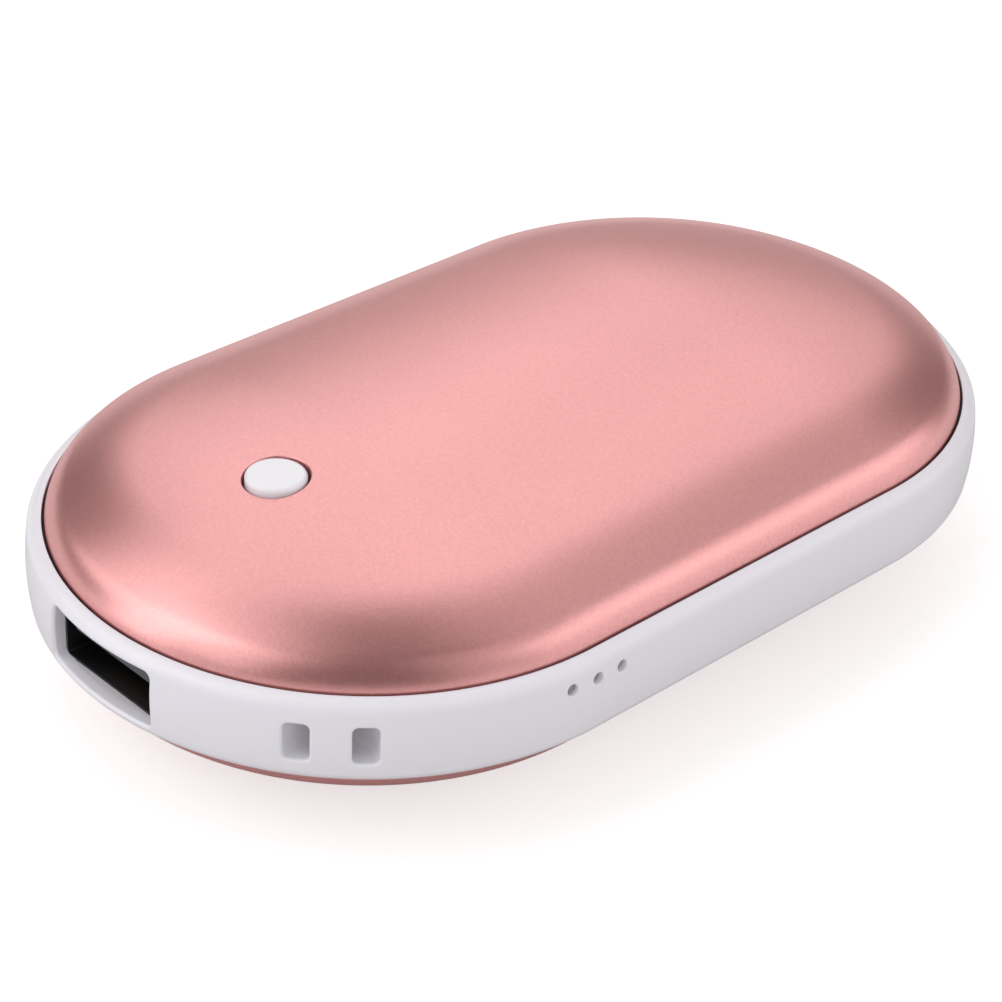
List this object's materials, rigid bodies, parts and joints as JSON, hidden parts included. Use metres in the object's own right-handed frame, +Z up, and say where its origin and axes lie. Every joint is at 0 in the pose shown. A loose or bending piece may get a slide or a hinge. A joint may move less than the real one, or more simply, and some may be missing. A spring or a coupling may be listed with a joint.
{
  "type": "rechargeable hand warmer",
  "caption": "Pebble-shaped rechargeable hand warmer: two domed metal shells on a moulded band, with a push button, a charging output, indicator lights and a lanyard bar.",
  "frame": {"origin": "centre of the bounding box in plan, at the resting flat under the lower shell", "axes": "+X along the length away from the charging output and the button, +Y across towards the charging input, +Z up through the button"},
  "size_m": [0.0974, 0.0596, 0.023],
  "materials": {
    "shell": "satin rose-gold anodised, fine blasted grain",
    "band": "semi-gloss white moulding",
    "carrier": "matte moulding",
    "film": "amber polyimide film",
    "foam": "dark closed-cell foam",
    "cell": "laminated foil pouch",
    "board": "solder mask",
    "tinned": "tinned metal",
    "lead_red": "insulated wire",
    "lead_black": "insulated wire",
    "lead_cream": "insulated wire",
    "bead": "dipped bead",
    "screw": "plated",
    "socket": "nickel-plated sheet",
    "black_plastic": "black moulding",
    "contact": "gold-plated spring strip",
    "button": "gloss white moulding",
    "led": "diffusing resin",
    "guide": "clear moulding",
    "ferrite": "ferrite compound"
  },
  "bodies": {
    "warmer": {"mid_frame": "band", "top_shell": "shell", "bottom_shell": "shell", "top_carrier": "carrier", "bottom_carrier": "carrier", "top_heater": "film", "bottom_heater": "film", "top_pad": "foam", "bottom_pad": "foam", "upper_cell": "cell", "lower_cell": "cell", "cell_guard_board": "board", "cell_tabs": "tinned", "battery_lead_red": "lead_red", "battery_lead_black": "lead_black", "top_heater_leads": "lead_cream", "bottom_heater_leads": "lead_cream", "thermistor": "bead", "main_board": "board", "board_screws": "screw", "usb_socket_shell": "socket", "usb_socket_tongue": "black_plastic", "usb_contacts": "contact", "input_socket_shell": "socket", "input_socket_tongue": "black_plastic", "switch_housing": "black_plastic", "indicator_leds": "led", "light_guide": "guide", "inductor": "ferrite", "control_chips": "black_plastic", "capacitors": "tinned"},
    "button": {"power_button": "button", "switch_plunger": "black_plastic"}
  },
  "joints": [
    {"name": "button_press", "type": "slide", "parent": "warmer", "child": "button", "axis": [0, 0, -1], "range_m": [0, 0.0004], "stiffness_N_per_m": 3500}
  ]
}
